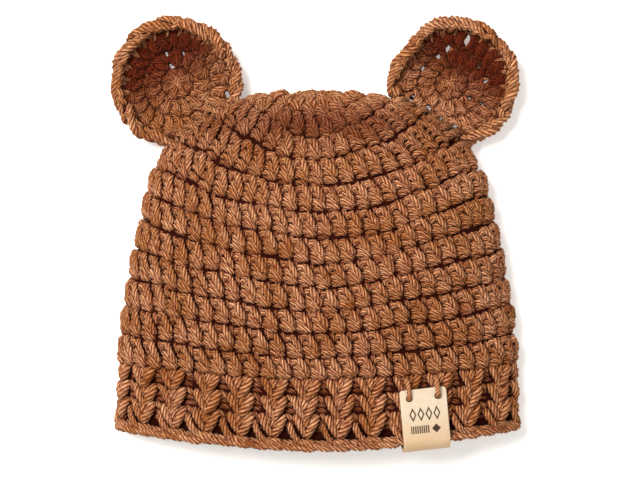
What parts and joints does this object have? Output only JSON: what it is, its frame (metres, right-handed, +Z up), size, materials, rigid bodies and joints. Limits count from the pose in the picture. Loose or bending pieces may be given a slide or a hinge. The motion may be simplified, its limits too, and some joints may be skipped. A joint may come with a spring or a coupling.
{
  "type": "baby hat with ears",
  "caption": "Crocheted baby hat lying flat on its back: domed hollow crown, ribbed band, cord edging, cupped ears and a leather tag folded over the hem and tied on.",
  "frame": {"origin": "on the floor under the middle of the hat, half way down the crown's height, on the flat underside", "axes": "+Z up out of the front of the hat, +Y from the hem to the crown and ears, +X to the side with the tag"},
  "size_m": [0.1836, 0.1949, 0.0401],
  "materials": {
    "yarn": "matte plied caramel brown yarn, crocheted",
    "tag_leather": "smooth pale natural leather, satin",
    "tie_thread": "matte twisted thread"
  },
  "bodies": {
    "root": {"crown": "yarn", "ribbed_band": "yarn", "hem_edging": "yarn", "ear_left": "yarn", "ear_right": "yarn", "leather_tag": "tag_leather", "tag_tie_left": "tie_thread", "tag_tie_right": "tie_thread"}
  },
  "joints": []
}
